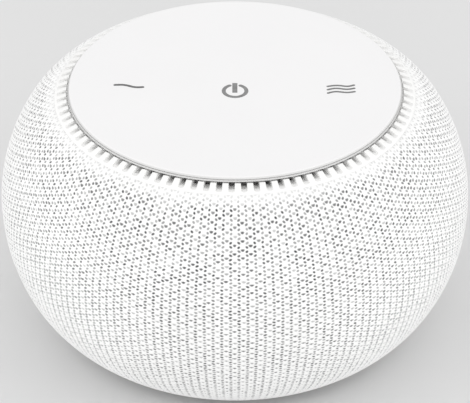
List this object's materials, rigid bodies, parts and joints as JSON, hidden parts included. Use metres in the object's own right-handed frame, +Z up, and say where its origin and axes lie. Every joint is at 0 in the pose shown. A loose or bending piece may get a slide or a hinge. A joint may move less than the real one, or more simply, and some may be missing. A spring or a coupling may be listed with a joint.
{
  "type": "white noise sound machine",
  "caption": "Squat barrel-shaped tabletop sound machine: smooth touch top, slotted vent ring, knitted fabric skin that turns as the tone collar, fan inside.",
  "frame": {"origin": "centre of the footprint on the surface the object stands on", "axes": "+Z up along the barrel's axis; front with the readable icons towards -Y; power inlet recess towards +Y"},
  "size_m": [0.1422, 0.1422, 0.0813],
  "materials": {
    "fabric": "white knitted cover with rows of small grey eyelets",
    "vent_white": "white moulded vent ring, satin",
    "top_white": "smooth satin white touch top",
    "shell_white": "white moulded shell",
    "base_white": "white textured base moulding",
    "foot_rubber": "soft grey rubber foot",
    "core_grey": "grey inner mouldings",
    "dark_plastic": "black inner mouldings",
    "glide_pom": "slippery acetal ring",
    "steel": "zinc-plated steel",
    "bronze": "sintered bronze",
    "nickel": "nickel-plated contact",
    "laminations": "stacked electrical steel",
    "copper": "enamelled copper winding",
    "magnet": "bonded ferrite",
    "board_green": "glass-fibre board",
    "grommet_rubber": "black rubber",
    "foam": "dark foam tape",
    "lead_white": "flat flexible lead"
  },
  "bodies": {
    "core": {"base_plate": "base_white", "foot_ring": "foot_rubber", "base_screws": "steel", "inlet_housing": "dark_plastic", "inlet_pin": "nickel", "main_board": "board_green", "board_parts": "dark_plastic", "board_screws": "steel", "sound_drum": "core_grey", "glide_ring": "glide_pom", "stop_pin": "steel", "top_frame": "core_grey", "frame_screws": "steel", "touch_tray": "top_white", "tray_screws": "steel", "touch_board": "board_green", "sensor_pads": "foam", "foam_gasket": "foam", "touch_top": "top_white", "flat_lead": "lead_white", "motor_bracket": "steel", "motor_grommets": "grommet_rubber", "bracket_screws": "steel", "motor_screws": "steel", "motor_base": "dark_plastic", "motor_board": "board_green", "shaft_bushes": "bronze", "stator_core": "laminations", "stator_windings": "copper"},
    "tone_shell": {"vent_ring": "vent_white", "upper_shell": "shell_white", "lower_shell": "shell_white", "shell_screws": "steel", "fabric_cover": "fabric", "hem_ring": "shell_white", "shutter_sleeve": "core_grey", "shutter_screws": "steel"},
    "rotor": {"rotor_can": "steel", "rotor_magnet": "magnet", "fan_shaft": "steel", "shaft_clip": "steel", "impeller": "dark_plastic"}
  },
  "joints": [
    {"name": "tone_turn", "type": "hinge", "parent": "core", "child": "tone_shell", "pos_m": [0, 0, 0.043], "axis": [0, 0, 1], "range_deg": [0, 30]},
    {"name": "fan_spin", "type": "hinge", "parent": "core", "child": "rotor", "pos_m": [0, 0, 0.03], "axis": [0, 0, 1], "continuous": true}
  ]
}
